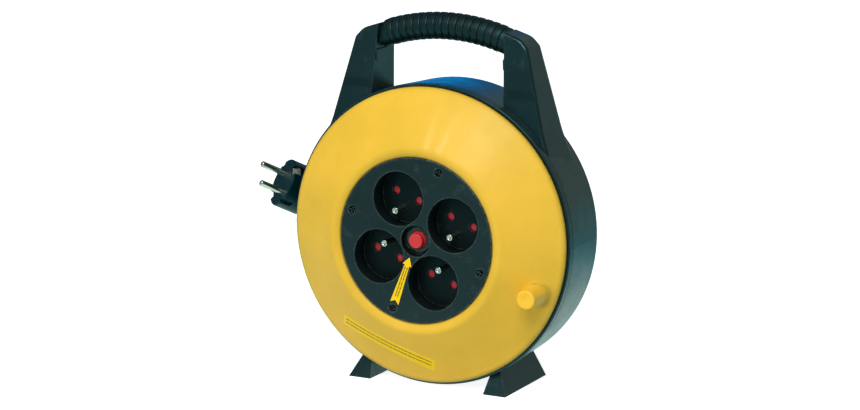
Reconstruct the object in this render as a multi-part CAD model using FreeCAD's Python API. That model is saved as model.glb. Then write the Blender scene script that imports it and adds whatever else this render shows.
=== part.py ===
"""Extension cord reel: a round casing with feet and a carrying handle, a turning drum that
carries four earthed outlets, and a mains plug on the free end of the cable.

Millimetres. X is to the right seen from the outlets' side, Y points to the back, Z is up.
The origin is where the drum's axis meets the flat back face of the casing.
Drum pieces are drawn square to the axes and turned to the drum's rest angle when saved.
"""
import FreeCAD
import Part
import math
import os

V = FreeCAD.Vector
AXIS = V(0, 1, 0)

# Casing
CASING_R = 111.0
CASING_TAPER = 0.048
SEAM_Y = -51.0
RING_FRONT_Y = -56.6
RING_BORE_R = 97.0
WALL = 3.0
FLOOR_Y = -3.5
BACK_ROUND = 4.0
SPIGOT_R = 9.0
SPIGOT_END_Y = -30.0
THRUST_Y = -6.9
BOSS_CIRCLE_R = 101.0
BOSS_R = 4.3
BOSS_ANGLES = (0, 60, 120, 180, 225, 315)
BOSS_END_Y = -46.0
SCREW_SEAT_Y = -40.0
SCREW_R = 1.45

# Feet
GROUND_Z = -112.4
FOOT_TOP_Z = -90.0
FOOT_IN_X = 46.1
FOOT_OUT_X = 64.0
FOOT_TOP_IN_X = 50.2
FOOT_TOP_OUT_X = 53.1
FOOT_TOE_Y = -61.3
FOOT_TOE_SLOPE = 0.526
FOOT_HEEL_Y = 10.9
FOOT_HEEL_TOP_Y = 6.5

# Handle
MID_Y = -29.5
GRIP_ARC_R = 149.5
GRIP_R = 10.0
GRIP_GROOVE_R = 8.7
GRIP_COLLAR_R = 9.6
CORE_R = 6.5
CORE_HALF_DEG = 23.4
SLEEVE_HALF_DEG = 20.6
RIB_COUNT = 16
RIB_DEG = 1.78
RIB_PITCH_DEG = 2.2
RIB_FIRST_DEG = -16.7
COLLAR_DEG = 19.15
POST_OUTLINE = (
    (54.2, 75.0),
    (50.5, 149.6),
    (63.2, 145.4),
    (69.2, 139.0),
    (85.2, 77.6),
    (93.8, 55.5),
)
POST_CORNERS = ((4, 60.0), (3, 6.0), (2, 12.0))
POST_FOOT_Z = 97.0
POST_FRONT_Y = -47.4
POST_BACK_Y = -11.5
POST_LEAN = 0.1
GRIP_SCREW_DEG = 22.3

# Drum
REST_TURN_DEG = 19.3
DISC_R = 108.8
CREST_ROUND = 3.0
RIM_Y = -60.0
RIM_BACK_Y = -57.5
CREST_R = 67.0
CREST_Y = -82.0
PLATE_R = 60.7
PLATE_Y = -79.85
LEDGE_FRONT_Y = -76.7
LEDGE_BACK_Y = -74.2
CORE_OUT_R = 47.0
CORE_IN_R = 44.0
FLANGE_R = 95.5
PLATE_SCREW_R = 54.5
CABLE_R = 4.25
COIL_LAYERS = 5
COIL_TURNS = 4
COIL_FIRST_R = 51.4
COIL_LAYER_STEP = 8.6
COIL_FIRST_Y = -14.4
COIL_TURN_STEP = 10.4

# Outlets
OUTLET_OFFSET = 23.2
RECESS_R = 19.9
RECESS_FLOOR_Y = -64.85
CUP_WALL = 1.6
PIN_HALF_PITCH = 9.5
PIN_HOLE_R = 2.9
EARTH_OFFSET = 10.0
EARTH_PIN_R = 2.4
EARTH_TIP_Y = -78.1
BASE_FRONT_Y = -63.2
BASE_BACK_Y = -58.7
RAIL_T = 1.5
SHUTTER_TRAVEL = 6.4

# Reset button
CENTRE_RECESS_R = 11.5
CENTRE_FLOOR_Y = -72.85
NECK_R = 8.2
NECK_BORE_R = 6.6

# Knob
KNOB_X = 96.0
KNOB_R = 8.1
KNOB_TIP_R = 7.0
KNOB_BASE_Y = -71.5
KNOB_TIP_Y = -87.0
KNOB_PIN_R = 3.0

# Plug
PLUG_FACE = V(-140.7, -25.0, 20.5)
PLUG_NORMAL = V(-0.611, -0.665, 0.427)
PLUG_PIN_LINE = V(-0.320, 0.744, 0.588)
CABLE_DIR = V(0.765, 0.0, 0.644)
PLUG_DEPTH_TO_CABLE = 14.0
PLUG_R = 18.7
PLUG_PIN_R = 2.4
PLUG_PIN_LENGTH = 19.0
EARTH_SLEEVE_Y = 10.0
CLIP_WIDTH = 6.6
CLIP_OUTLINE = ((13.5, -8.8), (14.5, -8.8), (17.2, -5.8), (17.2, -3.2), (14.5, -0.5), (13.5, -0.5))
TAIL_END = 90.3
GUIDE_START = 35.3
GUIDE_LENGTH = 17.5


def casing_radius(y):
    """Outer radius of the casing at a depth y."""
    return CASING_R - CASING_TAPER * (y - SEAM_Y)


def revolved(points):
    """Turn a closed (radius, y) outline about the drum axis."""
    corners = [V(r, y, 0) for r, y in points]
    corners.append(corners[0])
    face = Part.Face(Part.makePolygon(corners))
    return face.revolve(V(0, 0, 0), AXIS, 360)


def rod(radius, y0, y1, x=0.0, z=0.0):
    """Round bar along Y from y0 to y1."""
    return Part.makeCylinder(radius, y1 - y0, V(x, y0, z), AXIS)


def tube(outer, inner, y0, y1, x=0.0, z=0.0):
    """Round tube along Y."""
    return rod(outer, y0, y1, x, z).cut(rod(inner, y0 - 1, y1 + 1, x, z))


def block(x0, x1, y0, y1, z0, z1):
    """Box between two corners."""
    return Part.makeBox(x1 - x0, y1 - y0, z1 - z0, V(x0, y0, z0))


def prism_xz(points, y0, y1):
    """Outline in the XZ plane, pulled along Y."""
    corners = [V(x, y0, z) for x, z in points]
    corners.append(corners[0])
    return Part.Face(Part.makePolygon(corners)).extrude(V(0, y1 - y0, 0))


def prism_yz(points, x0, x1):
    """Outline in the YZ plane, pulled along X."""
    corners = [V(x0, y, z) for y, z in points]
    corners.append(corners[0])
    return Part.Face(Part.makePolygon(corners)).extrude(V(x1 - x0, 0, 0))


def polar(radius, degrees):
    """X and Z at an angle in the XZ plane, from +X towards +Z."""
    a = math.radians(degrees)
    return radius * math.cos(a), radius * math.sin(a)


def rounded(shape, radius, test):
    """Round the edges whose middle point passes the test."""
    chosen = []
    for edge in shape.Edges:
        middle = edge.valueAt((edge.FirstParameter + edge.LastParameter) / 2)
        if test(middle, edge):
            chosen.append(edge)
    return shape.makeFillet(radius, chosen)


def circle_at(y, radius, x=0.0, z=0.0):
    """Test for round edges of one radius at one depth, centred on (x, z)."""
    def test(middle, edge):
        at_depth = abs(middle.y - y) < 0.01
        distance = math.hypot(middle.x - x, middle.z - z)
        return at_depth and abs(distance - radius) < 0.05
    return test


def mirrored_x(shape):
    """The same piece on the other side of the reel's middle."""
    return shape.mirror(V(0, 0, 0), V(1, 0, 0))


def arc_bar(radius, half_degrees, centre_degrees=0.0):
    """Round bar bent to the handle's arc, centred an angle away from the top."""
    bar = Part.makeTorus(
        GRIP_ARC_R, radius, V(0, MID_Y, 0), AXIS, 0, 360, 2 * half_degrees
    )
    ends = bar.CenterOfMass
    start = math.degrees(math.atan2(ends.x, ends.z))
    bar.rotate(V(0, MID_Y, 0), AXIS, centre_degrees - start)
    return bar


def united(shapes):
    """Fuse a list of solids into one."""
    whole = shapes[0].fuse(shapes[1:])
    return whole.removeSplitter()


def casing_inside():
    """The hollow of the casing, used to keep outside features out of it."""
    return revolved(
        [
            (0, FLOOR_Y),
            (casing_radius(FLOOR_Y) - WALL, FLOOR_Y),
            (casing_radius(SEAM_Y - 10) - WALL, SEAM_Y - 10),
            (0, SEAM_Y - 10),
        ]
    )


def foot_section(y0, y1):
    """One right-hand foot's cross-section, pulled along Y."""
    return prism_xz(
        [
            (FOOT_IN_X, GROUND_Z),
            (FOOT_OUT_X, GROUND_Z),
            (FOOT_TOP_OUT_X, FOOT_TOP_Z),
            (FOOT_TOP_IN_X, FOOT_TOP_Z),
        ],
        y0,
        y1,
    )


def rear_foot():
    """Right-hand foot behind the seam, with its raked heel."""
    side = prism_yz(
        [
            (SEAM_Y, GROUND_Z),
            (FOOT_HEEL_Y, GROUND_Z),
            (FOOT_HEEL_TOP_Y, FOOT_TOP_Z),
            (SEAM_Y, FOOT_TOP_Z),
        ],
        0,
        100,
    )
    foot = foot_section(SEAM_Y, FOOT_HEEL_Y).common(side)
    foot = rounded(foot, 0.8, lambda m, e: m.z > GROUND_Z + 1 and m.y > SEAM_Y + 5)
    return foot


def front_toe():
    """Right-hand foot in front of the seam, with its raked front face."""
    height = FOOT_TOP_Z - GROUND_Z
    side = prism_yz(
        [
            (FOOT_TOE_Y, GROUND_Z),
            (SEAM_Y, GROUND_Z),
            (SEAM_Y, FOOT_TOP_Z),
            (min(FOOT_TOE_Y + FOOT_TOE_SLOPE * height, SEAM_Y - 1.5), FOOT_TOP_Z),
            (SEAM_Y - 1.5, GROUND_Z + (SEAM_Y - 1.5 - FOOT_TOE_Y) / FOOT_TOE_SLOPE),
        ],
        0,
        100,
    )
    return foot_section(FOOT_TOE_Y, SEAM_Y).common(side)


def handle_post():
    """Right-hand upright of the handle, leaning in at front and back."""
    outline = prism_xz(POST_OUTLINE, -70, 10)
    for corner, radius in POST_CORNERS:
        cx, cz = POST_OUTLINE[corner]
        outline = rounded(
            outline, radius, lambda m, e: math.hypot(m.x - cx, m.z - cz) < 0.1
        )
    knee = POST_FOOT_Z + (SEAM_Y - POST_FRONT_Y) / POST_LEAN
    profile = [(SEAM_Y, 55), post_back(55), post_back(163), post_front(163), post_front(knee)]
    post = outline.common(prism_yz(profile, 0, 120))

    def outer(m):
        return m.x > 54.5 and m.z > 60

    post = rounded(post, 7.0, lambda m, e: outer(m) and abs(m.y - post_back(m.z)[0]) < 0.05)
    return rounded(post, 2.5, lambda m, e: outer(m) and abs(m.y - post_front(m.z)[0]) < 0.05)


def post_front(z):
    """Front edge of a post at a height, as (y, z)."""
    return POST_FRONT_Y + POST_LEAN * (z - POST_FOOT_Z), z


def post_back(z):
    """Back edge of a post at a height, as (y, z)."""
    return POST_BACK_Y - POST_LEAN * (z - POST_FOOT_Z), z


def rear_shell():
    """Tub with back plate, spigot, screw bosses, handle posts and feet in one moulding."""
    back_r = casing_radius(0)
    tub = revolved(
        [
            (0, 0),
            (back_r, 0),
            (CASING_R, SEAM_Y),
            (CASING_R - WALL, SEAM_Y),
            (casing_radius(FLOOR_Y) - WALL, FLOOR_Y),
            (16, FLOOR_Y),
            (16, THRUST_Y),
            (SPIGOT_R, THRUST_Y),
            (SPIGOT_R, SPIGOT_END_Y),
            (0, SPIGOT_END_Y),
        ]
    )
    tub = rounded(tub, BACK_ROUND, circle_at(0, back_r))
    inside = casing_inside()
    adds = []
    for side in (handle_post(), rear_foot()):
        trimmed = side.cut(inside)
        adds.append(trimmed)
        adds.append(mirrored_x(trimmed))
    for angle in BOSS_ANGLES:
        x, z = polar(BOSS_CIRCLE_R, angle)
        adds.append(rod(BOSS_R, BOSS_END_Y, FLOOR_Y + 0.5, x, z))
        web = block(BOSS_CIRCLE_R, BOSS_CIRCLE_R + 7.1, BOSS_END_Y, FLOOR_Y, -1, 1)
        web.rotate(V(0, 0, 0), AXIS, -angle)
        adds.append(web)
    for angle in range(0, 360, 30):
        rib = block(15, 94, FLOOR_Y - 1.6, FLOOR_Y + 0.5, -1, 1)
        rib.rotate(V(0, 0, 0), AXIS, angle + 15)
        adds.append(rib)
    shell = united([tub] + adds)
    cuts = [rod(2.0, SPIGOT_END_Y - 1, -13)]
    for angle in BOSS_ANGLES:
        x, z = polar(BOSS_CIRCLE_R, angle)
        cuts.append(rod(2.9, SCREW_SEAT_Y, 1, x, z))
        cuts.append(rod(1.7, BOSS_END_Y - 1, SCREW_SEAT_Y, x, z))
    cuts.append(tube(84, 82, -0.8, 1))
    cuts.append(tube(30, 28.5, -0.8, 1))
    for side in (-1, 1):
        cuts.append(arc_bar(CORE_R + 0.05, 3.5, side * (CORE_HALF_DEG + 0.1 - 3.5)))
        x, z = polar(GRIP_ARC_R, 90 - side * GRIP_SCREW_DEG)
        cuts.append(rod(1.7, MID_Y - 10, 0, x, z))
        cuts.append(rod(3.3, -20.0, 0, x, z))
    along = V(CABLE_DIR).normalize()
    entry = cable_point(GUIDE_START - 13)
    cuts.append(Part.makeCylinder(8.1, 45, entry, along))
    for cut in cuts:
        shell = shell.cut(cut)
    return shell


def front_ring():
    """Front ring of the casing, with the locating lip, screw bosses and toes of the feet."""
    ring = revolved(
        [
            (RING_BORE_R, RING_FRONT_Y),
            (CASING_R, RING_FRONT_Y),
            (CASING_R, SEAM_Y),
            (107.6, SEAM_Y),
            (107.6, -48),
            (104.6, -48),
            (104.6, SEAM_Y),
            (RING_BORE_R, SEAM_Y),
        ]
    )
    ring = rounded(ring, 0.7, circle_at(RING_FRONT_Y, CASING_R))
    ring = rounded(ring, 0.6, circle_at(SEAM_Y, CASING_R))
    toe = front_toe().cut(rod(104, -70, -40))
    adds = [toe, mirrored_x(toe)]
    for angle in BOSS_ANGLES:
        x, z = polar(BOSS_CIRCLE_R, angle)
        adds.append(rod(3.9, SEAM_Y - 1, BOSS_END_Y - 0.2, x, z))
    ring = united([ring] + adds)
    for angle in BOSS_ANGLES:
        x, z = polar(BOSS_CIRCLE_R, angle)
        ring = ring.cut(rod(SCREW_R + 0.05, -55.6, -40, x, z))
    return ring


def ring_screws():
    """Screws that draw the front ring onto the rear shell."""
    screws = []
    for angle in BOSS_ANGLES:
        x, z = polar(BOSS_CIRCLE_R, angle)
        screw = rod(SCREW_R, -55.2, SCREW_SEAT_Y, x, z)
        screw = screw.fuse(rod(2.6, SCREW_SEAT_Y, SCREW_SEAT_Y + 2.2, x, z))
        screws.append(screw.cut(cross_slot(x, z, SCREW_SEAT_Y + 2.2, 1)))
    return screws


def cross_slot(x, z, y, toward):
    """Cutter for a cross recess 1 mm deep, opening in the direction given by its sign."""
    y0 = min(y - toward, y + toward)
    one = block(x - 1.7, x + 1.7, y0, y0 + 2, z - 0.4, z + 0.4)
    other = block(x - 0.4, x + 0.4, y0, y0 + 2, z - 1.7, z + 1.7)
    return one.fuse(other)


def handle_core():
    """Bent bar between the two posts that carries the grip."""
    core = arc_bar(CORE_R, CORE_HALF_DEG)
    for side in (-1, 1):
        x, z = polar(GRIP_ARC_R, 90 - side * GRIP_SCREW_DEG)
        core = core.cut(rod(SCREW_R + 0.05, MID_Y - 9, MID_Y + 9, x, z))
    return core


def grip_sleeve():
    """Ribbed hand grip pushed over the bar, with a plain collar at each end."""
    sleeve = [arc_bar(GRIP_GROOVE_R, SLEEVE_HALF_DEG)]
    for side in (-1, 1):
        half = SLEEVE_HALF_DEG - COLLAR_DEG
        sleeve.append(arc_bar(GRIP_COLLAR_R, half, side * COLLAR_DEG))
    for index in range(RIB_COUNT):
        centre = RIB_FIRST_DEG + index * RIB_PITCH_DEG
        sleeve.append(grip_ring(RIB_DEG, centre))
    whole = united(sleeve).cut(arc_bar(CORE_R + 0.05, SLEEVE_HALF_DEG + 1))
    beyond = prism_xz([(52.8, 100), (50.1, 149.2), (49.5, 162), (80, 162), (80, 100)], -60, 0)
    return whole.cut(beyond).cut(mirrored_x(beyond))


def grip_ring(width_degrees, centre_degrees):
    """One raised ring of the grip with rounded shoulders."""
    ring = arc_bar(GRIP_R, width_degrees / 2)
    ring = soft_ends(ring)
    ring.rotate(V(0, MID_Y, 0), AXIS, centre_degrees)
    return ring


def soft_ends(ring):
    """Round the two end circles of a short bent bar."""
    ends = []
    for edge in ring.Edges:
        if abs(edge.Length - 2 * math.pi * GRIP_R) < 0.5:
            closed = edge.firstVertex().Point.distanceToPoint(edge.lastVertex().Point) < 1e-6
            if closed:
                ends.append(edge)
    return ring.makeFillet(1.15, ends)


def grip_screws():
    """Screws from the back of the posts through the ends of the bar."""
    screws = []
    for side in (-1, 1):
        x, z = polar(GRIP_ARC_R, 90 - side * GRIP_SCREW_DEG)
        screw = rod(SCREW_R, MID_Y - 8.5, -20.0, x, z).fuse(rod(3.0, -20.0, -17.4, x, z))
        screws.append(screw.cut(cross_slot(x, z, -17.4, 1)))
    return screws


def cable_point(distance):
    """Point on the straight run of cable, measured from inside the plug."""
    normal = V(PLUG_NORMAL).normalize()
    start = PLUG_FACE - normal * PLUG_DEPTH_TO_CABLE
    return start + V(CABLE_DIR).normalize() * distance


def cable_guide():
    """Bush in the casing wall that the cable is drawn through."""
    along = V(CABLE_DIR).normalize()
    guide = Part.makeCylinder(8.0, GUIDE_LENGTH, cable_point(GUIDE_START), along)
    lip = Part.makeCylinder(9.6, 2.4, cable_point(GUIDE_START - 1.4), along)
    lip = lip.makeFillet(0.8, [e for e in lip.Edges if e.Length > 40])
    top = casing_radius(5) + 0.05
    bottom = casing_radius(SEAM_Y) + 0.05
    lip = lip.cut(revolved([(0, 5), (top, 5), (bottom, SEAM_Y), (0, SEAM_Y)]))
    guide = guide.fuse(lip)
    guide = guide.cut(Part.makeCylinder(4.8, 40, cable_point(GUIDE_START - 8), along))
    guide = guide.cut(rod(97.6, -60, 5))
    return guide


def bearing_bush():
    """Plastic bush between the spigot and the hub."""
    return tube(10.5, SPIGOT_R + 0.05, -29.9, -7.0)


def axle_washer():
    """Washer that keeps the hub on the spigot."""
    return tube(12.0, 2.2, SPIGOT_END_Y - 1.5, SPIGOT_END_Y)


def axle_screw():
    """Screw in the end of the spigot."""
    screw = rod(1.95, -31.5, -14).fuse(rod(4.2, -34.5, -31.5))
    return screw.cut(cross_slot(0, 0, -34.5, 1))


def hub():
    """Bobbin that the cable winds on, with the bowl that carries the outlets in front."""
    body = revolved(
        [
            (10.5, -29.9),
            (10.5, -7.0),
            (FLANGE_R, -7.0),
            (FLANGE_R, -9.0),
            (CORE_OUT_R, -9.0),
            (CORE_OUT_R, -51.0),
            (FLANGE_R, -51.0),
            (FLANGE_R, -53.0),
            (60.0, -53.0),
            (60.0, LEDGE_BACK_Y),
            (57.4, LEDGE_BACK_Y),
            (57.4, -53.0),
            (CORE_IN_R, -53.0),
            (CORE_IN_R, -9.0),
            (14.0, -9.0),
            (14.0, -29.9),
        ]
    )
    bosses = []
    for angle in range(0, 360, 90):
        x, z = polar(PLATE_SCREW_R, angle)
        bosses.append(rod(3.4, LEDGE_BACK_Y, -52.5, x, z))
    body = united([body] + bosses)
    for angle in range(0, 360, 90):
        x, z = polar(PLATE_SCREW_R, angle)
        body = body.cut(rod(SCREW_R + 0.05, LEDGE_BACK_Y - 1, -61, x, z))
    body = body.cut(Part.makeCylinder(CABLE_R + 0.15, 12, V(0, COIL_FIRST_Y, -40), V(0, 0, -1)))
    for x in (-7.5, 7.5):
        body = body.cut(rod(SCREW_R + 0.05, -10, -6, x, -36))
    return body


def cable_coil():
    """Wound cable as turns side by side, the first turn joined to the lead into the hub."""
    turns = []
    for layer in range(COIL_LAYERS):
        for turn in range(COIL_TURNS):
            y = COIL_FIRST_Y - turn * COIL_TURN_STEP
            radius = COIL_FIRST_R + layer * COIL_LAYER_STEP
            turns.append(Part.makeTorus(radius, CABLE_R, V(0, y, 0), AXIS))
    lead = Part.makeCylinder(CABLE_R, COIL_FIRST_R - 28, V(0, COIL_FIRST_Y, -28), V(0, 0, -1))
    turns[0] = turns[0].fuse(lead)
    return turns


def strain_clamp():
    """Saddle that holds the cable's inner end to the hub."""
    clamp = block(-10.5, 10.5, -20.6, -9.0, -40, -32)
    clamp = clamp.cut(Part.makeCylinder(CABLE_R + 0.05, 20, V(0, COIL_FIRST_Y, -26), V(0, 0, -1)))
    for x in (-7.5, 7.5):
        clamp = clamp.cut(rod(SCREW_R + 0.05, -22, -8, x, -36))
    return clamp


def clamp_screws():
    """Screws of the cable saddle."""
    screws = []
    for x in (-7.5, 7.5):
        screw = rod(SCREW_R, -20.6, -7.3, x, -36).fuse(rod(2.7, -22.4, -20.6, x, -36))
        screws.append(screw.cut(cross_slot(x, -36, -22.4, 1)))
    return screws


def front_disc():
    """Dished front cheek of the drum, with the knob's seat."""
    disc = revolved(
        [
            (DISC_R, RIM_BACK_Y),
            (DISC_R, RIM_Y),
            (CREST_R, CREST_Y),
            (61.0, PLATE_Y + 0.3),
            (61.0, LEDGE_FRONT_Y),
            (50.5, LEDGE_FRONT_Y),
            (50.5, LEDGE_BACK_Y),
            (64.0, LEDGE_BACK_Y),
            (67.5, -78.6),
            (104.5, -59.6),
            (105.5, RIM_BACK_Y),
        ]
    )
    disc = rounded(disc, 0.9, circle_at(RIM_Y, DISC_R))
    disc = rounded(disc, CREST_ROUND, circle_at(CREST_Y, CREST_R))
    disc = disc.fuse(rod(KNOB_R, KNOB_BASE_Y + 0.1, -60.0, KNOB_X, 0)).removeSplitter()
    disc = disc.cut(rod(KNOB_PIN_R + 0.05, -75, -50, KNOB_X, 0))
    for x, z in outlet_centres():
        disc = disc.cut(rod(RECESS_R + CUP_WALL + 0.3, -78, -70, x, z))
    for angle in range(0, 360, 90):
        x, z = polar(PLATE_SCREW_R, angle)
        disc = disc.cut(rod(1.7, -78, -70, x, z))
    return disc


def outlet_centres():
    """Centres of the four outlets on the drum."""
    return [(sx * OUTLET_OFFSET, sz * OUTLET_OFFSET) for sz in (1, -1) for sx in (-1, 1)]


def pin_positions():
    """Every pin hole: outlet number, x, z."""
    found = []
    for number, (x, z) in enumerate(outlet_centres()):
        for side in (-1, 1):
            found.append((number, x + side * PIN_HALF_PITCH, z))
    return found


def earth_positions():
    """Every earth pin, set from its outlet's hole line towards the drum's middle."""
    return [(x, z - math.copysign(EARTH_OFFSET, z)) for x, z in outlet_centres()]


def socket_plate():
    """Front plate with four outlet cups and the recess of the reset button."""
    plate = revolved(
        [
            (0, PLATE_Y),
            (PLATE_R - 0.5, PLATE_Y),
            (PLATE_R, PLATE_Y + 0.5),
            (PLATE_R, LEDGE_FRONT_Y),
            (0, LEDGE_FRONT_Y),
        ]
    )
    cup_back = RECESS_FLOOR_Y + CUP_WALL
    solids = [rod(CENTRE_RECESS_R + CUP_WALL, PLATE_Y + 1, CENTRE_FLOOR_Y + CUP_WALL)]
    for x, z in outlet_centres():
        solids.append(rod(RECESS_R + CUP_WALL, PLATE_Y + 1, cup_back, x, z))
    plate = united([plate] + solids)
    for x, z in outlet_centres():
        plate = plate.cut(rod(RECESS_R, PLATE_Y - 1, RECESS_FLOOR_Y, x, z))
    plate = plate.cut(rod(CENTRE_RECESS_R, PLATE_Y - 1, CENTRE_FLOOR_Y))
    for x, z in outlet_centres():
        plate = rounded(plate, 0.5, circle_at(PLATE_Y, RECESS_R, x, z))
    plate = rounded(plate, 0.4, circle_at(PLATE_Y, CENTRE_RECESS_R))
    plate = plate.cut(rod(NECK_R + 0.1, -76, -70))
    for number, x, z in pin_positions():
        plate = plate.cut(rod(PIN_HOLE_R, -70, -60, x, z))
    for x, z in earth_positions():
        plate = plate.cut(rod(EARTH_PIN_R + 0.1, -70, -60, x, z))
    for angle in range(0, 360, 90):
        x, z = polar(PLATE_SCREW_R, angle)
        plate = plate.cut(rod(1.7, -82, -70, x, z))
        plate = plate.cut(rod(3.3, -82, -78.25, x, z))
    return plate


def plate_screws():
    """Cross-recessed screws through the plate and the disc into the hub."""
    screws = []
    for angle in range(0, 360, 90):
        x, z = polar(PLATE_SCREW_R, angle)
        screw = rod(2.8, -79.65, -78.25, x, z).fuse(rod(SCREW_R, -78.25, -62, x, z))
        screws.append(screw.cut(cross_slot(x, z, -79.65, 1)))
    return screws


def contact_base():
    """Insulating base behind the cups, with the shutters' pockets and its stand-off feet."""
    base = rod(50.5, BASE_FRONT_Y, BASE_BACK_Y)
    for angle in range(0, 360, 90):
        x, z = polar(46.8, angle)
        base = base.fuse(rod(2.7, BASE_BACK_Y - 1, -53.0, x, z))
    base = base.removeSplitter()
    base = base.cut(block(-9.3, 9.3, -66, -50, -11.3, 11.3))
    for x, z in outlet_centres():
        out = math.copysign(1, z)
        z0, z1 = sorted((z - out * 3.6, z + out * 10.3))
        base = base.cut(block(x - 13.3, x + 13.3, -66, -61.5, z0, z1))
    for number, x, z in pin_positions():
        base = base.cut(rod(PIN_HOLE_R, -66, -55, x, z))
    for x, z in earth_positions():
        base = base.cut(rod(EARTH_PIN_R + 0.05, -66, -55, x, z))
    return base


def rail(x_list, cross_z):
    """Comb of two contact bars joined by a cross bar, with holes at the pins."""
    out = math.copysign(1, cross_z)
    far = cross_z + out * 2.5
    near = -out * 26.5
    z0, z1 = sorted((near, far))
    c0, c1 = sorted((cross_z - out * 2.5, far))
    y1 = BASE_BACK_Y + RAIL_T
    pieces = [block(x - 2.5, x + 2.5, BASE_BACK_Y, y1, z0, z1) for x in x_list]
    pieces.append(block(min(x_list), max(x_list), BASE_BACK_Y, y1, c0, c1))
    comb = united(pieces)
    for number, x, z in pin_positions():
        comb = comb.cut(rod(2.45, -60, -55, x, z))
    return comb


def live_rail():
    """Live contact rail."""
    return rail([OUTLET_OFFSET + PIN_HALF_PITCH, -OUTLET_OFFSET + PIN_HALF_PITCH], 34.0)


def neutral_rail():
    """Neutral contact rail."""
    return rail([OUTLET_OFFSET - PIN_HALF_PITCH, -OUTLET_OFFSET - PIN_HALF_PITCH], -34.0)


def pin_contacts():
    """Split sleeves behind the rails that grip a plug's pins."""
    sleeves = []
    y0 = BASE_BACK_Y + RAIL_T
    for number, x, z in pin_positions():
        sleeve = tube(3.4, 2.45, y0, -47.5, x, z)
        slit = block(x - 0.4, x + 0.4, y0 + 2.5, -47, z - 4, z + 4)
        sleeves.append(sleeve.cut(slit))
    return sleeves


def earth_rail():
    """Rail that joins the four earth pins round the cut-out."""
    pieces = []
    for x in (-OUTLET_OFFSET, OUTLET_OFFSET):
        pieces.append(block(x - 2.2, x + 2.2, -55.8, -54.6, -16.4, 16.4))
    pieces.append(block(-OUTLET_OFFSET, OUTLET_OFFSET, -55.8, -54.6, 12.0, 16.4))
    joined = united(pieces)
    for x, z in earth_positions():
        joined = joined.cut(rod(1.25, -57, -53, x, z))
    return joined


def earth_pins():
    """Earth pins of the outlets, dimpled at the tip and riveted to the earth rail."""
    pins = []
    for x, z in earth_positions():
        pin = rod(EARTH_PIN_R, EARTH_TIP_Y, -55.8, x, z)
        pin = rounded(pin, 0.5, circle_at(EARTH_TIP_Y, EARTH_PIN_R, x, z))
        pin = pin.fuse(rod(3.4, BASE_BACK_Y, -57.4, x, z))
        pin = pin.fuse(rod(1.2, -56.5, -54.0, x, z)).removeSplitter()
        pins.append(pin.cut(Part.makeSphere(2.0, V(x, EARTH_TIP_Y - 1.5, z))))
    return pins


def shutter(number):
    """Safety shutter of one outlet, bevelled where a pin pushes it aside."""
    x, z = outlet_centres()[number]
    out = math.copysign(1, z)
    outline = [(-61.7, -3.4), (-61.7, 3.4), (-63.1, 3.4), (-63.1, -2.0), (-62.5, -3.4)]
    return prism_yz([(y, z + out * dz) for y, dz in outline], x - 13.0, x + 13.0)


def breaker_body():
    """Thermal cut-out behind the middle of the plate."""
    body = block(-9, 9, BASE_FRONT_Y, -43, -11, 11)
    body = rounded(body, 1.0, lambda m, e: abs(abs(m.x) - 9) < 0.01 and abs(abs(m.z) - 11) < 0.01)
    shoulder = rod(10.8, -71.2, BASE_FRONT_Y - 0.1).fuse(rod(8.8, -71.2, -60))
    body = body.fuse([shoulder, rod(NECK_R, -74.9, -71.0)]).removeSplitter()
    body = body.cut(rod(NECK_BORE_R, -76, -67.4))
    return body.cut(rod(3.2, -70, -60))


def breaker_nut():
    """Six-sided nut that holds the cut-out to the plate."""
    points = [polar(10.2, 60 * k) for k in range(6)]
    return prism_xz(points, -74.8, CENTRE_FLOOR_Y).cut(rod(NECK_R + 0.05, -76, -70))


def breaker_tabs():
    """Push-on terminals of the cut-out."""
    return [block(-3.15, 3.15, -43, -35, z - 0.4, z + 0.4) for z in (-5, 5)]


def reset_button():
    """Stepped push button of the cut-out."""
    button = revolved(
        [
            (0, PLATE_Y),
            (5.3, PLATE_Y),
            (5.3, -76.5),
            (6.3, -75.2),
            (6.3, -70.2),
            (3.0, -70.2),
            (3.0, -66.2),
            (0, -66.2),
        ]
    )
    return rounded(button, 0.6, circle_at(PLATE_Y, 5.3))


def knob_pin():
    """Headed spindle of the winding knob with its snap collar."""
    return revolved_at_knob(
        [
            (0, -58.6),
            (5.0, -58.6),
            (5.0, -60.0),
            (KNOB_PIN_R, -60.0),
            (KNOB_PIN_R, -80.8),
            (3.5, -80.8),
            (3.5, -81.6),
            (2.6, -82.3),
            (0, -82.3),
        ]
    )


def knob():
    """Winding knob with a rounded, slightly dished end."""
    body = revolved_at_knob(
        [
            (KNOB_PIN_R + 0.06, KNOB_BASE_Y),
            (KNOB_R, KNOB_BASE_Y),
            (KNOB_TIP_R, KNOB_TIP_Y),
            (5.0, KNOB_TIP_Y),
            (0, KNOB_TIP_Y + 0.7),
            (0, -82.6),
            (3.6, -82.6),
            (3.6, -80.6),
            (KNOB_PIN_R + 0.06, -80.6),
        ]
    )
    return rounded(body, 1.3, circle_at(KNOB_TIP_Y, KNOB_TIP_R, KNOB_X, 0))


def revolved_at_knob(points):
    """Turn a (radius, y) outline about the knob's own axis."""
    shape = revolved(points)
    shape.translate(V(KNOB_X, 0, 0))
    return shape


def arrow_label():
    """Swallow-tailed arrow sticker on the plate, pointing at the reset button."""
    points = [
        (0.0, -13.2),
        (3.7, -19.5),
        (1.9, -19.5),
        (3.5, -50.4),
        (0.0, -47.8),
        (-3.5, -50.4),
        (-1.9, -19.5),
        (-3.7, -19.5),
    ]
    return prism_xz(points, PLATE_Y - 0.15, PLATE_Y)


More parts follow.
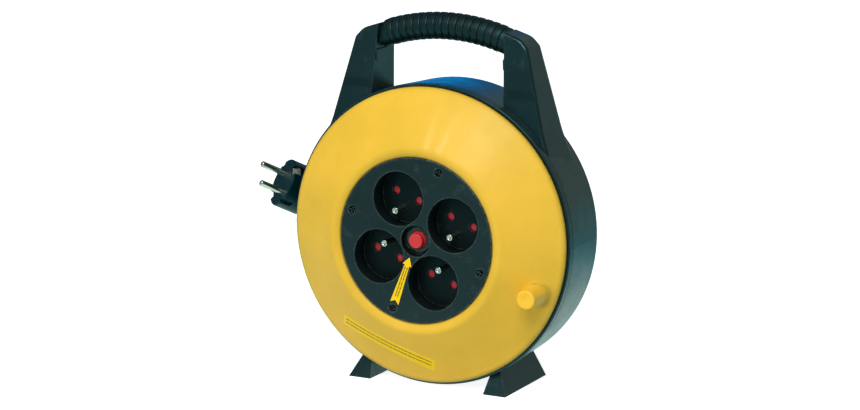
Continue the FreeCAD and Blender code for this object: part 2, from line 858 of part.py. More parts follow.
def warning_label():
    """Plain strip sticker that follows the disc's slope."""
    slope = (CREST_Y - RIM_Y) / (CREST_R - DISC_R)
    lift = 0.15 * math.hypot(1, slope)

    def cone(offset):
        y_rim = RIM_Y - offset
        y_crest = CREST_Y - offset
        return [(DISC_R, y_rim), (CREST_R, y_crest)]

    skin = revolved(cone(0.0) + list(reversed(cone(lift))))
    strip = prism_xz([(-38.5, -88.9), (41.0, -90.0), (41.0, -80.6), (-38.5, -81.0)], -90, -50)
    return skin.common(strip)


def plug_frame(shape):
    """Set a plug piece drawn with its face at the origin and its pins along +Z."""
    n = V(PLUG_NORMAL).normalize()
    s = V(PLUG_PIN_LINE)
    s = (s - n * s.dot(n)).normalize()
    t = n.cross(s)
    placed = shape.copy()
    placed.Placement = FreeCAD.Placement(
        FreeCAD.Matrix(
            s.x, t.x, n.x, PLUG_FACE.x,
            s.y, t.y, n.y, PLUG_FACE.y,
            s.z, t.z, n.z, PLUG_FACE.z,
            0, 0, 0, 1,
        )
    )
    return placed


def plug_turned(points):
    """Turn a (radius, height) outline about the plug's axis."""
    corners = [V(r, 0, z) for r, z in points]
    corners.append(corners[0])
    return Part.Face(Part.makePolygon(corners)).revolve(V(0, 0, 0), V(0, 0, 1), 360)


def plug_body():
    """Moulded body of the right-angled earthed plug."""
    body = plug_turned([(0, 0), (PLUG_R, 0), (PLUG_R, -19), (15.5, -25), (0, -26.5)])
    body = rounded(body, 1.0, lambda m, e: abs(m.z) < 0.01 and e.Length > 100)
    body = rounded(body, 3.0, lambda m, e: abs(m.z + 25) < 0.01 or abs(m.z + 19) < 0.01)
    along = V(CABLE_DIR).normalize()
    collar = Part.makeCone(9.4, 8.4, 21, cable_point(0), along)
    collar = rounded(collar, 1.0, lambda m, e: abs(e.Length - 16.8 * math.pi) < 0.1)
    body = plug_frame(body).fuse(collar).removeSplitter()
    cuts = [Part.makeCylinder(3.2, 15, V(0, EARTH_SLEEVE_Y, -14))]
    for side in (-1, 1):
        cuts.append(Part.makeBox(8.4, 6, 9.5, V(-4.2, side * 16.4 - 3.0, -9)))
        cuts.append(Part.makeBox(5, 5.4, 9.5, V(side * 18.9 - 2.5, -2.7, -9)))
        cuts.append(Part.makeCylinder(PLUG_PIN_R, 9, V(side * 9.5, 0, -8)))
    for cut in cuts:
        body = body.cut(plug_frame(cut))
    return body.cut(Part.makeCylinder(CABLE_R + 0.02, 40, cable_point(5), along))


def plug_pins():
    """Round pins of the plug with domed tips."""
    pins = []
    for side in (-1, 1):
        pin = Part.makeCylinder(PLUG_PIN_R, PLUG_PIN_LENGTH + 8, V(side * 9.5, 0, -8))
        pin = rounded(pin, 1.6, lambda m, e: m.z > PLUG_PIN_LENGTH - 0.1)
        pins.append(plug_frame(pin))
    return pins


def plug_earth_clips():
    """Spring earth strips in the two side grooves of the plug."""
    clips = []
    for side in (-1, 1):
        corners = [V(-CLIP_WIDTH / 2, side * y, z) for y, z in CLIP_OUTLINE]
        corners.append(corners[0])
        clip = Part.Face(Part.makePolygon(corners)).extrude(V(CLIP_WIDTH, 0, 0))
        clips.append(plug_frame(clip))
    return clips


def plug_earth_sleeve():
    """Metal sleeve in the plug's face that takes an outlet's earth pin."""
    sleeve = Part.makeCylinder(3.15, 13.5, V(0, EARTH_SLEEVE_Y, -14))
    sleeve = sleeve.cut(Part.makeCylinder(2.5, 14, V(0, EARTH_SLEEVE_Y, -13)))
    return plug_frame(sleeve)


def plug_boot():
    """Grooved sleeve that stops the cable kinking at the plug."""
    along = V(CABLE_DIR).normalize()
    boot = Part.makeCone(7.6, 6.0, 9.6, cable_point(21), along)
    for step in range(3):
        groove = Part.makeCylinder(12, 1.2, cable_point(22.6 + 2.8 * step), along)
        groove = groove.cut(Part.makeCylinder(5.6, 1.4, cable_point(22.5 + 2.8 * step), along))
        boot = boot.cut(groove)
    return boot.cut(Part.makeCylinder(CABLE_R + 0.02, 40, cable_point(5), along))


def cable_tail():
    """Straight run of cable from the plug into the casing."""
    along = V(CABLE_DIR).normalize()
    return Part.makeCylinder(CABLE_R, TAIL_END - 8, cable_point(8), along)


def on_drum(shapes):
    """Turn drum pieces to the drum's rest angle."""
    turned = []
    for shape in shapes:
        placed = shape.copy()
        placed.rotate(V(0, 0, 0), AXIS, REST_TURN_DEG)
        turned.append(placed)
    return turned


def as_list(made):
    """One solid or a group, always as a list."""
    return made if isinstance(made, list) else [made]


def save(name, shapes):
    """Write one node's solids to its own file."""
    solids = []
    for shape in shapes:
        solids.extend(shape.Solids)
    whole = solids[0] if len(solids) == 1 else Part.makeCompound(solids)
    whole.exportStep("parts/" + name + ".step")


FIXED_NODES = {
    "rear_shell": rear_shell,
    "front_ring": front_ring,
    "ring_screws": ring_screws,
    "handle_core": handle_core,
    "grip_sleeve": grip_sleeve,
    "grip_screws": grip_screws,
    "cable_guide": cable_guide,
    "axle_washer": axle_washer,
    "axle_screw": axle_screw,
    "plug_body": plug_body,
    "plug_pins": plug_pins,
    "plug_earth_clips": plug_earth_clips,
    "plug_earth_sleeve": plug_earth_sleeve,
    "plug_boot": plug_boot,
    "cable_tail": cable_tail,
}

DRUM_NODES = {
    "bearing_bush": bearing_bush,
    "hub": hub,
    "cable_coil": cable_coil,
    "strain_clamp": strain_clamp,
    "clamp_screws": clamp_screws,
    "front_disc": front_disc,
    "socket_plate": socket_plate,
    "plate_screws": plate_screws,
    "contact_base": contact_base,
    "live_rail": live_rail,
    "neutral_rail": neutral_rail,
    "pin_contacts": pin_contacts,
    "earth_rail": earth_rail,
    "earth_pins": earth_pins,
    "breaker_body": breaker_body,
    "breaker_nut": breaker_nut,
    "breaker_tabs": breaker_tabs,
    "reset_button": reset_button,
    "knob_pin": knob_pin,
    "knob": knob,
    "arrow_label": arrow_label,
    "warning_label": warning_label,
}


os.makedirs("parts", exist_ok=True)
for node, make in FIXED_NODES.items():
    save(node, as_list(make()))
for node, make in DRUM_NODES.items():
    save(node, on_drum(as_list(make())))
for number in range(4):
    save("shutter_" + str(number + 1), on_drum([shutter(number)]))
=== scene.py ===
"""Looks of the extension cord reel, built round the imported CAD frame. Metres, row frame."""
import math

import bmesh
import bpy
from mathutils import Matrix, Vector


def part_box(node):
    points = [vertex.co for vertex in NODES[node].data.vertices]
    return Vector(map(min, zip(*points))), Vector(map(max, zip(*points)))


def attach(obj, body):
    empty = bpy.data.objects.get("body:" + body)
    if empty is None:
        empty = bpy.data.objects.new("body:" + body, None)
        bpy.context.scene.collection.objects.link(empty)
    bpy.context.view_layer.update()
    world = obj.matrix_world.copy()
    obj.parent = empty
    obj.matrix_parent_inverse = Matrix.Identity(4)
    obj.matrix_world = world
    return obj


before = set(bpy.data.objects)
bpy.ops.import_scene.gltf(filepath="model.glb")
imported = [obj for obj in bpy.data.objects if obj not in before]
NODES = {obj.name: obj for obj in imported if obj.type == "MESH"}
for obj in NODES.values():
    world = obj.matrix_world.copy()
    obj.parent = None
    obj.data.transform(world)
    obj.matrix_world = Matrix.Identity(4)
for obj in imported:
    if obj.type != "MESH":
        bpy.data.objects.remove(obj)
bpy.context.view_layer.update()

# Measures of the reel that the looks depend on, in metres
PLATE_Y = -0.0793          # just under the face of the socket plate
RECESS_Y = -0.0660         # just above the floor of the outlet recesses
# Painted shade of the gap between disc and socket plate: a dark line on the disc from this radius
# outwards
PLATE_GAP_R = 0.0613       # disc meets socket plate
PLATE_GAP_FADE = 0.0007
# Painted shade along the joint between ring and shell, and a faint darker line behind it
SEAM_Y = -0.0510           # front ring meets rear shell
MOULD_LINE_Y = -0.0465     # faint line behind the seam
CREASE_R = 0.006           # softened crest of the disc
DRUM_TURN = math.radians(19.3)

# Print on the stickers: rows of dashes, in the drum's own directions
STRIP_ROWS = (-0.0833, -0.0862)
STRIP_ENDS = (-0.0365, 0.0385)
ARROW_ROWS = (-0.0009, 0.0009)
ARROW_ENDS = (-0.0455, -0.0205)
ROW_HALF = 0.0006
ROW_FADE = 0.0002
END_FADE = 0.0004
INK_AMOUNT = 0.85

# Pads on the inner faces of the handle posts
PAD_HALF_Y = 0.00915
PAD_HALF_Z = 0.0041
PAD_CORNER = 0.0013
PAD_Y = -0.03475
PAD_BELOW_GRIP = 0.0045
PAD_STEPS = (              # height above the wall, inset of the outline
    (-0.0004, 0.0),
    (0.0007, 0.0),
    (0.00098, 0.00008),
    (0.00115, 0.00026),
    (0.0012, 0.0005),
)
CORNER_POINTS = 6

# Floor: brightness to the camera, to soft light and in reflections
FLOOR_HALF = 14.0
FLOOR_SEEN = 0.75
FLOOR_GLOW = 0.12
FLOOR_GLOSS = 0.9
FLOOR_DIM = 0.26
FLOOR_SLATE = 0.2
FLOOR_NEAR = 0.2
FLOOR_FAR = 0.62
FLOOR_EDGE = 0.04

# Camera
AZIMUTH = math.radians(26.63)
ELEVATION = math.radians(11.55)
ROLL = math.radians(0.42)
TARGET = Vector((0.00168, -0.06, 0.02305))
DISTANCE = 1.9861
SENSOR = 36.0
LENS = 115.24
CENTRE = (0.0, -0.05, 0.02)


def rgb(r, g, b):
    """Linear colour of an sRGB one given as 0 to 255."""
    def linear(value):
        value /= 255.0
        return value / 12.92 if value <= 0.04045 else ((value + 0.055) / 1.055) ** 2.4
    return linear(r), linear(g), linear(b), 1.0


WHITE = (1.0, 1.0, 1.0, 1.0)
BLACK = (0.0, 0.0, 0.0, 1.0)
INK = rgb(58, 48, 18)
# Colour of bright metal edges: partly rubbed metal, partly a painted highlight
BRIGHT_EDGE = (0.9, 0.9, 0.88, 1.0)
CASING_SHEEN = (0.42, 0.92, 1.0, 1.0)
PLATE_SHEEN = (0.62, 0.97, 1.0, 1.0)
PLUG_SHEEN = (0.16, 0.86, 1.0, 1.0)


# ---------------------------------------------------------------- shader nodes
class Graph:
    """Adds and links the nodes of one node tree."""

    def __init__(self, tree):
        self.tree = tree
        self.tree.nodes.clear()

    def add(self, kind, **settings):
        """New node with its properties set."""
        node = self.tree.nodes.new(kind)
        for key, value in settings.items():
            setattr(node, key, value)
        return node

    def link(self, output, socket):
        """Link an output to an input."""
        self.tree.links.new(output, socket)

    def feed(self, socket, value):
        """Give an input a value or another node's output."""
        if hasattr(value, "is_linked"):
            self.link(value, socket)
        else:
            socket.default_value = value

    def set(self, node, **values):
        """Feed inputs by name, with _ for a space."""
        for key, value in values.items():
            self.feed(node.inputs[key.replace("_", " ")], value)

    def math(self, operation, a, b=0.0):
        """Arithmetic on two values."""
        node = self.add("ShaderNodeMath", operation=operation)
        self.feed(node.inputs[0], a)
        self.feed(node.inputs[1], b)
        return node.outputs[0]

    def mix(self, fac, a, b):
        """Colour a where fac is zero and b where it is one."""
        node = self.add("ShaderNodeMix", data_type="RGBA", blend_type="MIX")
        self.feed(node.inputs[0], fac)
        self.feed(node.inputs[6], a)
        self.feed(node.inputs[7], b)
        return node.outputs[2]

    def map_range(self, value, low, high, to_low, to_high):
        """Value moved from one range to another, and held inside it."""
        node = self.add("ShaderNodeMapRange")
        self.link(value, node.inputs["Value"])
        self.set(node, From_Min=low, From_Max=high, To_Min=to_low, To_Max=to_high)
        return node.outputs["Result"]

    def axes(self, vector):
        """The X, Y and Z outputs of a vector."""
        node = self.add("ShaderNodeSeparateXYZ")
        self.link(vector, node.inputs[0])
        return node.outputs


class Surface(Graph):
    """Nodes of a new material round one principled shader."""

    def __init__(self, name):
        self.material = bpy.data.materials.new(name)
        self.material.use_nodes = True
        super().__init__(self.material.node_tree)
        out = self.add("ShaderNodeOutputMaterial")
        self.shader = self.add("ShaderNodeBsdfPrincipled")
        self.link(self.shader.outputs["BSDF"], out.inputs["Surface"])
        self.coords = self.add("ShaderNodeTexCoord").outputs["Object"]

    def noise(self, scale, detail=3.0, rough=0.55, vector=None):
        """Noise over the object's own coordinates."""
        node = self.add("ShaderNodeTexNoise")
        self.link(vector or self.coords, node.inputs["Vector"])
        self.set(node, Scale=scale, Detail=detail, Roughness=rough)
        return node.outputs["Fac"]

    def ramp(self, fac, low, high):
        """Black up to low, white from high."""
        node = self.add("ShaderNodeValToRGB")
        self.link(fac, node.inputs["Fac"])
        for element, position, colour in zip(node.color_ramp.elements, (low, high), (BLACK, WHITE)):
            element.position = position
            element.color = colour
        return node.outputs["Color"]

    def edges(self, radius, low=0.004, high=0.09):
        """Bright along outside edges, broken up by noise: partly rubbed edges, partly a painted
        highlight along the rims.
        """
        bevel = self.add("ShaderNodeBevel", samples=4)
        self.set(bevel, Radius=radius)
        flat = self.add("ShaderNodeNewGeometry").outputs["Normal"]
        dot = self.add("ShaderNodeVectorMath", operation="DOT_PRODUCT")
        self.link(bevel.outputs["Normal"], dot.inputs[0])
        self.link(flat, dot.inputs[1])
        away = self.math("SUBTRACT", 1.0, dot.outputs["Value"])
        mask = self.map_range(away, low, high, 0.0, 1.0)
        broken = self.ramp(self.noise(420.0, 4.0, 0.7), 0.38, 0.62)
        return self.math("MULTIPLY", mask, broken)

    def bump(self, heights, soften=0.0):
        """Chain of bumps from (height, strength, distance), over creases rounded by soften."""
        normal = None
        if soften > 0.0:
            rounded = self.add("ShaderNodeBevel", samples=6)
            self.set(rounded, Radius=soften)
            normal = rounded.outputs["Normal"]
        for height, strength, distance in heights:
            node = self.add("ShaderNodeBump")
            self.set(node, Strength=strength, Distance=distance, Height=height)
            if normal is not None:
                self.link(normal, node.inputs["Normal"])
            normal = node.outputs["Normal"]
        self.link(normal, self.shader.inputs["Normal"])


def plastic(name, dark, light, rough, grain, depth, edge, edge_amount, dust=None, dust_amount=0.0,
            specular=0.5, sheen=WHITE, scuff=0.05, wave=0.0, coat=0.0, coat_rough=0.22, sss=0.0,
            soften=0.0, print_mask=None, shade=None):
    """Moulded plastic: slow colour drift, fine grain, patchy gloss, scuffs, bright edges that are
    partly rubbed and partly a painted highlight, a little dust, and painted shade where a shade mask
    is given.
    """
    g = Surface(name)
    slow = g.ramp(g.noise(16.0, 4.0, 0.6), 0.3, 0.7)
    colour = g.mix(slow, dark, light)
    small = g.ramp(g.noise(900.0, 2.0), 0.35, 0.65)
    colour = g.mix(g.math("MULTIPLY", small, 0.07), colour, light)
    scuffs = g.ramp(g.noise(85.0, 7.0, 0.78), 0.56, 0.74)
    colour = g.mix(g.math("MULTIPLY", scuffs, scuff), colour, edge)
    if dust is not None:
        specks = g.ramp(g.noise(1500.0, 2.0, 0.8), 0.68, 0.76)
        where = g.ramp(g.noise(40.0, 3.0), 0.45, 0.7)
        dusty = g.math("MULTIPLY", g.math("MULTIPLY", specks, where), dust_amount)
        colour = g.mix(dusty, colour, dust)
    # Bright edges: partly rubbed edges, partly a painted highlight along the rims
    colour = g.mix(g.math("MULTIPLY", g.edges(0.0009), edge_amount), colour, edge)
    if print_mask is not None:
        colour = g.mix(print_mask(g), colour, INK)
    # Painted shade: the shade mask darkens the colour towards black and dulls the specular
    if shade is not None:
        shaded = shade(g)
        colour = g.mix(g.math("MULTIPLY", shaded, 0.5), colour, BLACK)
        specular = g.map_range(shaded, 0.0, 1.0, specular, specular * 0.46)
    gloss = g.map_range(g.noise(55.0, 5.0, 0.65), 0.3, 0.7, *rough)
    heights = [(g.noise(grain, 3.0, 0.6), 0.5, depth)]
    if wave > 0.0:
        heights.append((g.noise(22.0, 1.0), 0.6, wave))
    g.bump(heights, soften)
    g.set(g.shader, Base_Color=colour, Roughness=gloss, Specular_IOR_Level=specular,
          Specular_Tint=sheen, Coat_Weight=coat, Coat_Roughness=coat_rough)
    if sss > 0.0:
        g.set(g.shader, Subsurface_Weight=sss, Subsurface_Scale=0.002)
    return g.material


def metal(name, base, tint, rough, wear_and_highlight=0.5, draw=1.0):
    """Plated or stamped metal with fine draw lines, dull patches and bright edges, partly rubbed
    metal and partly a painted highlight along them.
    """
    g = Surface(name)
    mapping = g.add("ShaderNodeMapping")
    g.set(mapping, Vector=g.coords, Scale=(1.0, draw, 1.0))
    patches = g.ramp(g.noise(120.0, 4.0, 0.65), 0.35, 0.68)
    colour = g.mix(patches, base, tint)
    # Bright edges: partly rubbed metal, partly a painted highlight
    worn_and_highlit = g.math("MULTIPLY", g.edges(0.0003, 0.01, 0.12), wear_and_highlight)
    colour = g.mix(worn_and_highlit, colour, BRIGHT_EDGE)
    lines = g.noise(2600.0, 2.0, 0.5, mapping.outputs["Vector"])
    gloss = g.map_range(lines, 0.3, 0.7, *rough)
    g.bump([(lines, 0.35, 0.00001), (g.noise(700.0, 3.0), 0.2, 0.00001)])
    g.set(g.shader, Base_Color=colour, Roughness=gloss, Metallic=1.0)
    return g.material


# ---------------------------------------------------------------- masks
def print_rows(g, rows, ends, upright):
    """Rows of unreadable dashes, as small print looks from a distance."""
    turned = g.add("ShaderNodeMapping")
    g.set(turned, Vector=g.coords, Rotation=(0.0, -DRUM_TURN, 0.0))
    split = g.axes(turned.outputs["Vector"])
    along, across = split["X"], split["Z"]
    if upright:
        along, across = across, along
    place = g.add("ShaderNodeCombineXYZ")
    g.link(along, place.inputs["X"])
    dashes = g.ramp(g.noise(1500.0, 2.0, 0.6, place.outputs["Vector"]), 0.42, 0.5)
    total = 0.0
    for row in rows:
        off = g.math("ABSOLUTE", g.math("SUBTRACT", across, row))
        total = g.math("ADD", g.map_range(off, ROW_HALF - ROW_FADE, ROW_HALF, 1.0, 0.0), total)
    first, last = ends
    inside = g.math("MULTIPLY", g.map_range(along, first, first + END_FADE, 0.0, 1.0),
                    g.map_range(along, last - END_FADE, last, 1.0, 0.0))
    return g.math("MULTIPLY", g.math("MULTIPLY", total, dashes),
                  g.math("MULTIPLY", inside, INK_AMOUNT))


def strip_print(g):
    """Print on the strip sticker."""
    return print_rows(g, STRIP_ROWS, STRIP_ENDS, False)


def arrow_print(g):
    """Print on the arrow sticker."""
    return print_rows(g, ARROW_ROWS, ARROW_ENDS, True)


def recess_painted_shade(g):
    """Painted shade in the outlet recesses: zero on the face of the socket plate, one on the floor
    of a recess.
    """
    return g.map_range(g.axes(g.coords)["Y"], PLATE_Y, RECESS_Y, 0.0, 1.0)


def plate_gap_shade(g):
    """Painted shade: a dark line on the disc round the edge of the socket plate, where the gap
    between them falls in shade.
    """
    split = g.axes(g.coords)
    squares = [g.math("MULTIPLY", split[axis], split[axis]) for axis in "XZ"]
    radius = g.math("SQRT", g.math("ADD", *squares))
    return g.map_range(radius, PLATE_GAP_R, PLATE_GAP_R + PLATE_GAP_FADE, 1.0, 0.0)


def seam_painted_shade(g):
    """Painted shade in the joint between ring and shell, and a faint darker line along the mould
    line behind it.
    """
    y = g.axes(g.coords)["Y"]
    off_joint = g.math("ABSOLUTE", g.math("SUBTRACT", y, SEAM_Y))
    joint = g.map_range(off_joint, 0.0003, 0.0007, 1.0, 0.0)
    off_line = g.math("ABSOLUTE", g.math("SUBTRACT", y, MOULD_LINE_Y))
    line = g.map_range(off_line, 0.0002, 0.0005, 0.45, 0.0)
    return g.math("MAXIMUM", joint, line)


# ---------------------------------------------------------------- materials
# Casing: painted shade along the seam between ring and shell
casing_black = plastic(
    "casing_black", rgb(4, 18, 20), rgb(12, 29, 30), (0.24, 0.36), 1700.0, 0.00004,
    rgb(92, 108, 104), 0.45, rgb(150, 160, 155), 0.35, specular=0.55, sheen=CASING_SHEEN,
    scuff=0.2, wave=0.0002, shade=seam_painted_shade)
# Socket plate: painted shade darkens the outlet recesses, and its bright edges are partly a painted
# highlight on the rims
plate_black = plastic(
    "plate_black", rgb(9, 17, 19), rgb(17, 27, 28), (0.4, 0.54), 2300.0, 0.00003,
    rgb(120, 138, 134), 0.75, rgb(150, 158, 150), 0.3, specular=0.45, sheen=PLATE_SHEEN,
    scuff=0.12, shade=recess_painted_shade)
grip_black = plastic(
    "grip_black", rgb(4, 15, 17), rgb(12, 26, 27), (0.34, 0.48), 1300.0, 0.00005,
    rgb(80, 92, 90), 0.5, rgb(140, 150, 146), 0.4, specular=0.45, sheen=CASING_SHEEN)
inner_black = plastic(
    "inner_black", rgb(30, 33, 33), rgb(42, 46, 45), (0.45, 0.6), 1500.0, 0.00004,
    rgb(90, 94, 92), 0.4, rgb(130, 132, 128), 0.3)
# Disc: painted shade as a dark line round the socket plate
disc_yellow = plastic(
    "disc_yellow", rgb(224, 181, 50), rgb(244, 194, 62), (0.34, 0.46), 2100.0, 0.000022,
    rgb(250, 222, 130), 0.35, rgb(190, 150, 70), 0.18, specular=0.3, wave=0.0004,
    coat=0.09, coat_rough=0.1, sss=0.05, soften=CREASE_R, shade=plate_gap_shade)
knob_yellow = plastic(
    "knob_yellow", rgb(252, 192, 50), rgb(255, 204, 70), (0.28, 0.4), 1900.0, 0.00002,
    rgb(255, 232, 150), 0.4, rgb(200, 150, 60), 0.15, specular=0.16, sss=0.16)
strip_yellow, arrow_yellow = [
    plastic(name, rgb(255, 204, 4), rgb(255, 214, 20), (0.3, 0.4), 2600.0, 0.00001,
            rgb(255, 236, 140), 0.5, rgb(180, 140, 40), 0.15, specular=0.2, coat=0.03,
            print_mask=print_mask)
    for name, print_mask in (("strip_yellow", strip_print), ("arrow_yellow", arrow_print))]
button_red = plastic(
    "button_red", rgb(200, 32, 36), rgb(218, 52, 52), (0.25, 0.38), 2200.0, 0.00002,
    rgb(250, 140, 135), 0.4, rgb(240, 190, 180), 0.1, coat=0.3, sss=0.1)
shutter_red = plastic(
    "shutter_red", rgb(170, 28, 38), rgb(196, 42, 50), (0.3, 0.42), 2200.0, 0.00002,
    rgb(230, 110, 105), 0.3, sss=0.05)
cable_black = plastic(
    "cable_black", rgb(5, 17, 19), rgb(13, 29, 31), (0.4, 0.55), 1400.0, 0.00004,
    rgb(70, 86, 86), 0.3, rgb(130, 140, 136), 0.3, sheen=CASING_SHEEN)
plug_teal = plastic(
    "plug_teal", rgb(0, 16, 20), rgb(1, 26, 31), (0.32, 0.46), 1800.0, 0.00003,
    rgb(80, 130, 134), 0.4, rgb(150, 170, 170), 0.2, specular=0.3, sheen=PLUG_SHEEN)
insulator = plastic(
    "insulator", rgb(206, 202, 188), rgb(224, 220, 208), (0.45, 0.6), 1600.0, 0.00003,
    rgb(240, 238, 230), 0.4, rgb(140, 130, 110), 0.2)
zinc = metal("zinc", rgb(150, 152, 150), rgb(184, 186, 182), (0.28, 0.46), draw=6.0)
# Plate screws: strong bright edges, partly rubbed metal and partly a painted highlight
dark_screw = metal("dark_screw", rgb(10, 14, 13), rgb(20, 26, 25), (0.26, 0.4), 0.9, draw=6.0)
nickel = metal("nickel", rgb(196, 188, 174), rgb(232, 224, 210), (0.12, 0.24))
brass = metal("brass", rgb(196, 158, 84), rgb(220, 184, 108), (0.2, 0.36))

FINISH = {
    casing_black: "rear_shell front_ring cable_guide",
    plate_black: "socket_plate breaker_nut",
    grip_black: "grip_sleeve",
    inner_black: "handle_core hub bearing_bush breaker_body",
    disc_yellow: "front_disc",
    knob_yellow: "knob",
    strip_yellow: "warning_label",
    arrow_yellow: "arrow_label",
    button_red: "reset_button",
    shutter_red: "shutter_1 shutter_2 shutter_3 shutter_4",
    cable_black: "cable_coil cable_tail plug_boot",
    plug_teal: "plug_body",
    insulator: "contact_base strain_clamp",
    zinc: "ring_screws grip_screws axle_washer axle_screw clamp_screws",
    dark_screw: "plate_screws",
    nickel: "earth_pins earth_rail plug_pins plug_earth_clips plug_earth_sleeve knob_pin",
    brass: "live_rail neutral_rail pin_contacts breaker_tabs",
}
for material, names in FINISH.items():
    for name in names.split():
        node = NODES[name]
        node.data.materials.clear()
        node.data.materials.append(material)
        for face in node.data.polygons:
            face.material_index = 0
            face.use_smooth = True


# ---------------------------------------------------------------- pads on the handle posts
def add_object(name, data):
    """New object that shows some data, linked to the scene."""
    thing = bpy.data.objects.new(name, data)
    bpy.context.scene.collection.objects.link(thing)
    return thing


def pad_outline(inset):
    """Rounded rectangle as (y, z) offsets from the middle of the pad."""
    points = []
    radius = PAD_CORNER - inset * 0.5
    for quarter, (side_y, side_z) in enumerate(((1, 1), (-1, 1), (-1, -1), (1, -1))):
        for step in range(CORNER_POINTS):
            angle = math.radians(90.0 * (quarter + step / (CORNER_POINTS - 1)))
            y = side_y * (PAD_HALF_Y - inset - radius) + radius * math.cos(angle)
            z = side_z * (PAD_HALF_Z - inset - radius) + radius * math.sin(angle)
            points.append((y, z))
    return points


def post_wall(side, z):
    """How far from the middle the inner face of a handle post is at a height."""
    return NODES["rear_shell"].ray_cast((0.0, PAD_Y, z), (side, 0.0, 0.0))[1].x


def post_pad(name, side):
    """Raised moulded pad on the inner face of a handle post, just under the end of the grip."""
    middle_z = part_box("grip_sleeve")[0].z - PAD_BELOW_GRIP
    wall = post_wall(side, middle_z)
    lean = (post_wall(side, middle_z + PAD_HALF_Z) - wall) / PAD_HALF_Z
    mesh = bmesh.new()
    rings = []
    for height, inset in PAD_STEPS:
        ring = []
        for dy, dz in pad_outline(inset):
            x = wall + lean * dz - side * height
            ring.append(mesh.verts.new((x, PAD_Y + dy, middle_z + dz)))
        rings.append(ring)
    for low, high in zip(rings, rings[1:]):
        for i, corner in enumerate(low):
            j = (i + 1) % len(low)
            mesh.faces.new((corner, low[j], high[j], high[i])).smooth = True
    mesh.faces.new(rings[0])
    mesh.faces.new(rings[-1])
    bmesh.ops.recalc_face_normals(mesh, faces=mesh.faces)
    data = bpy.data.meshes.new(name)
    mesh.to_mesh(data)
    mesh.free()
    data.materials.append(casing_black)
    pad = add_object(name, data)
    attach(pad, "casing")


post_pad("left_post_pad", -1.0)
post_pad("right_post_pad", 1.0)


# ---------------------------------------------------------------- stage
def build_floor():
    """Pale floor. Reflections see it pale near the reel, teal further out and slate beyond."""
    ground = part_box("rear_shell")[0].z
    corners = [(x * FLOOR_HALF, y * FLOOR_HALF, ground)
               for x, y in ((-1, -1), (1, -1), (1, 1), (-1, 1))]
    mesh = bpy.data.meshes.new("floor")
    mesh.from_pydata(corners, [], [(0, 1, 2, 3)])
    add_object("floor", mesh)
    g = Surface("floor_white")
    ray = g.add("ShaderNodeLightPath").outputs
    to_camera, in_gloss = ray["Is Camera Ray"], ray["Is Glossy Ray"]
    reach = g.add("ShaderNodeVectorMath", operation="LENGTH")
    g.link(g.coords, reach.inputs[0])
    near = g.map_range(reach.outputs["Value"], FLOOR_NEAR, FLOOR_FAR, 1.0, 0.0)
    beyond = g.map_range(reach.outputs["Value"], FLOOR_FAR, FLOOR_FAR + FLOOR_EDGE, 0.0, 1.0)
    shine = g.math("MAXIMUM", g.map_range(near, 0.0, 1.0, FLOOR_DIM, FLOOR_GLOSS),
                   g.math("MULTIPLY", beyond, FLOOR_SLATE))
    glow = g.math("ADD", g.math("MULTIPLY", to_camera, FLOOR_SEEN),
                  g.math("MULTIPLY", in_gloss, shine))
    glow = g.math("ADD", glow, FLOOR_GLOW)
    reflected = g.mix(near, (0.0, 0.8, 1.0, 1.0), (0.72, 1.0, 0.94, 1.0))
    reflected = g.mix(beyond, reflected, (0.5, 1.0, 1.0, 1.0))
    tint = g.mix(to_camera, reflected, WHITE)
    base = g.mix(in_gloss, (0.38, 0.4, 0.4, 1.0), (0.14, 0.2, 0.2, 1.0))
    base = g.mix(to_camera, base, (0.9, 0.9, 0.9, 1.0))
    g.set(g.shader, Base_Color=base, Roughness=0.7, Specular_IOR_Level=0.2,
          Emission_Color=tint, Emission_Strength=glow)
    mesh.materials.append(g.material)


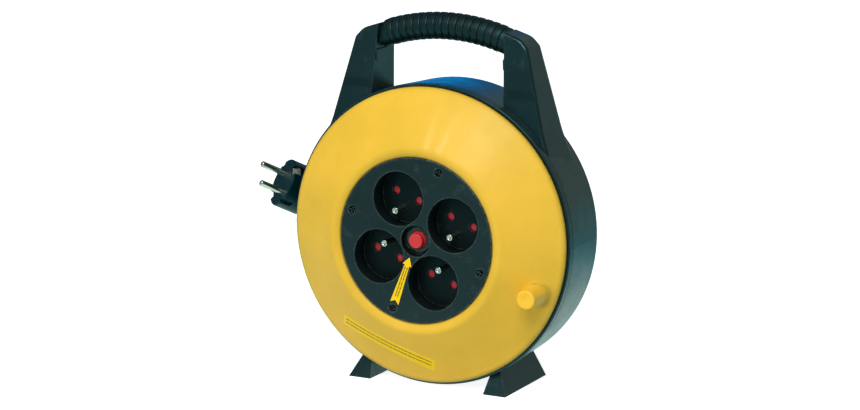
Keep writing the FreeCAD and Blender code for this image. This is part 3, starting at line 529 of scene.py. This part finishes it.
def build_world():
    """Studio air by direction: pale in front, dark behind, slate behind right, blue patch left."""
    world = bpy.data.worlds.new("studio")
    bpy.context.scene.world = world
    world.use_nodes = True
    g = Graph(world.node_tree)
    backdrop = g.add("ShaderNodeBackground")
    out = g.add("ShaderNodeOutputWorld")
    g.link(backdrop.outputs["Background"], out.inputs["Surface"])
    x, y, z = g.axes(g.add("ShaderNodeTexCoord").outputs["Generated"])
    front = g.map_range(y, -0.3, 0.45, 1.0, 0.0)
    behind = g.map_range(y, 0.45, 0.8, 0.0, 1.0)
    low = g.map_range(z, 0.14, 0.36, 1.0, 0.0)
    left = g.map_range(x, -0.38, -0.15, 1.0, 0.0)
    right = g.map_range(x, -0.34, -0.1, 0.0, 1.0)
    patch = g.math("MULTIPLY", g.math("MULTIPLY", low, left), behind)
    air = g.mix(front, (0.03, 0.06, 0.065, 1.0), (0.36, 0.39, 0.39, 1.0))
    air = g.mix(g.math("MULTIPLY", right, behind), air, (0.30, 0.37, 0.34, 1.0))
    air = g.mix(patch, air, (0.0, 0.62, 1.7, 1.0))
    g.set(backdrop, Color=air, Strength=1.0)


def softbox(name, place, size, power, colour=WHITE[:3], glossy=True, diffuse=True):
    """Rectangular area light at a point, turned to face the reel."""
    data = bpy.data.lights.new(name, "AREA")
    data.shape = "RECTANGLE"
    data.size, data.size_y = size
    data.energy = power
    data.color = colour
    lamp = add_object(name, data)
    lamp.location = place
    lamp.visible_glossy = glossy
    lamp.visible_diffuse = diffuse
    lamp.rotation_euler = (Vector(CENTRE) - Vector(place)).to_track_quat("-Z", "Y").to_euler()


def build_camera():
    """Camera in front of the outlets, a little to the right and above."""
    back = Vector((math.sin(AZIMUTH) * math.cos(ELEVATION),
                   -math.cos(AZIMUTH) * math.cos(ELEVATION), math.sin(ELEVATION)))
    level = Vector((math.cos(AZIMUTH), math.sin(AZIMUTH), 0.0))
    right = level * math.cos(ROLL) + back.cross(level) * math.sin(ROLL)
    data = bpy.data.cameras.new("camera")
    data.sensor_width = SENSOR
    data.lens = LENS
    camera = add_object("camera", data)
    turn = Matrix((right, back.cross(right), back)).transposed().to_4x4()
    camera.matrix_world = Matrix.Translation(TARGET + back * DISTANCE) @ turn
    bpy.context.scene.camera = camera


build_floor()
build_world()
softbox("key", (0.45, -1.6, 1.7), (1.2, 1.2), 32.0, (1.0, 0.985, 0.95))
softbox("fill", (-0.9, -2.0, 0.3), (1.0, 1.0), 17.0, (1.0, 0.98, 0.93), glossy=False)
softbox("pane_left", (-0.68, -1.47, 1.35), (0.1, 0.02), 0.7, diffuse=False)
softbox("pane_right", (-0.40, -1.57, 1.35), (0.1, 0.02), 0.7, diffuse=False)
softbox("side", (1.9, 0.2, 0.1), (0.6, 0.9), 1.6, (0.6, 1.0, 1.0))
build_camera()
bpy.context.scene.view_settings.view_transform = "Standard"
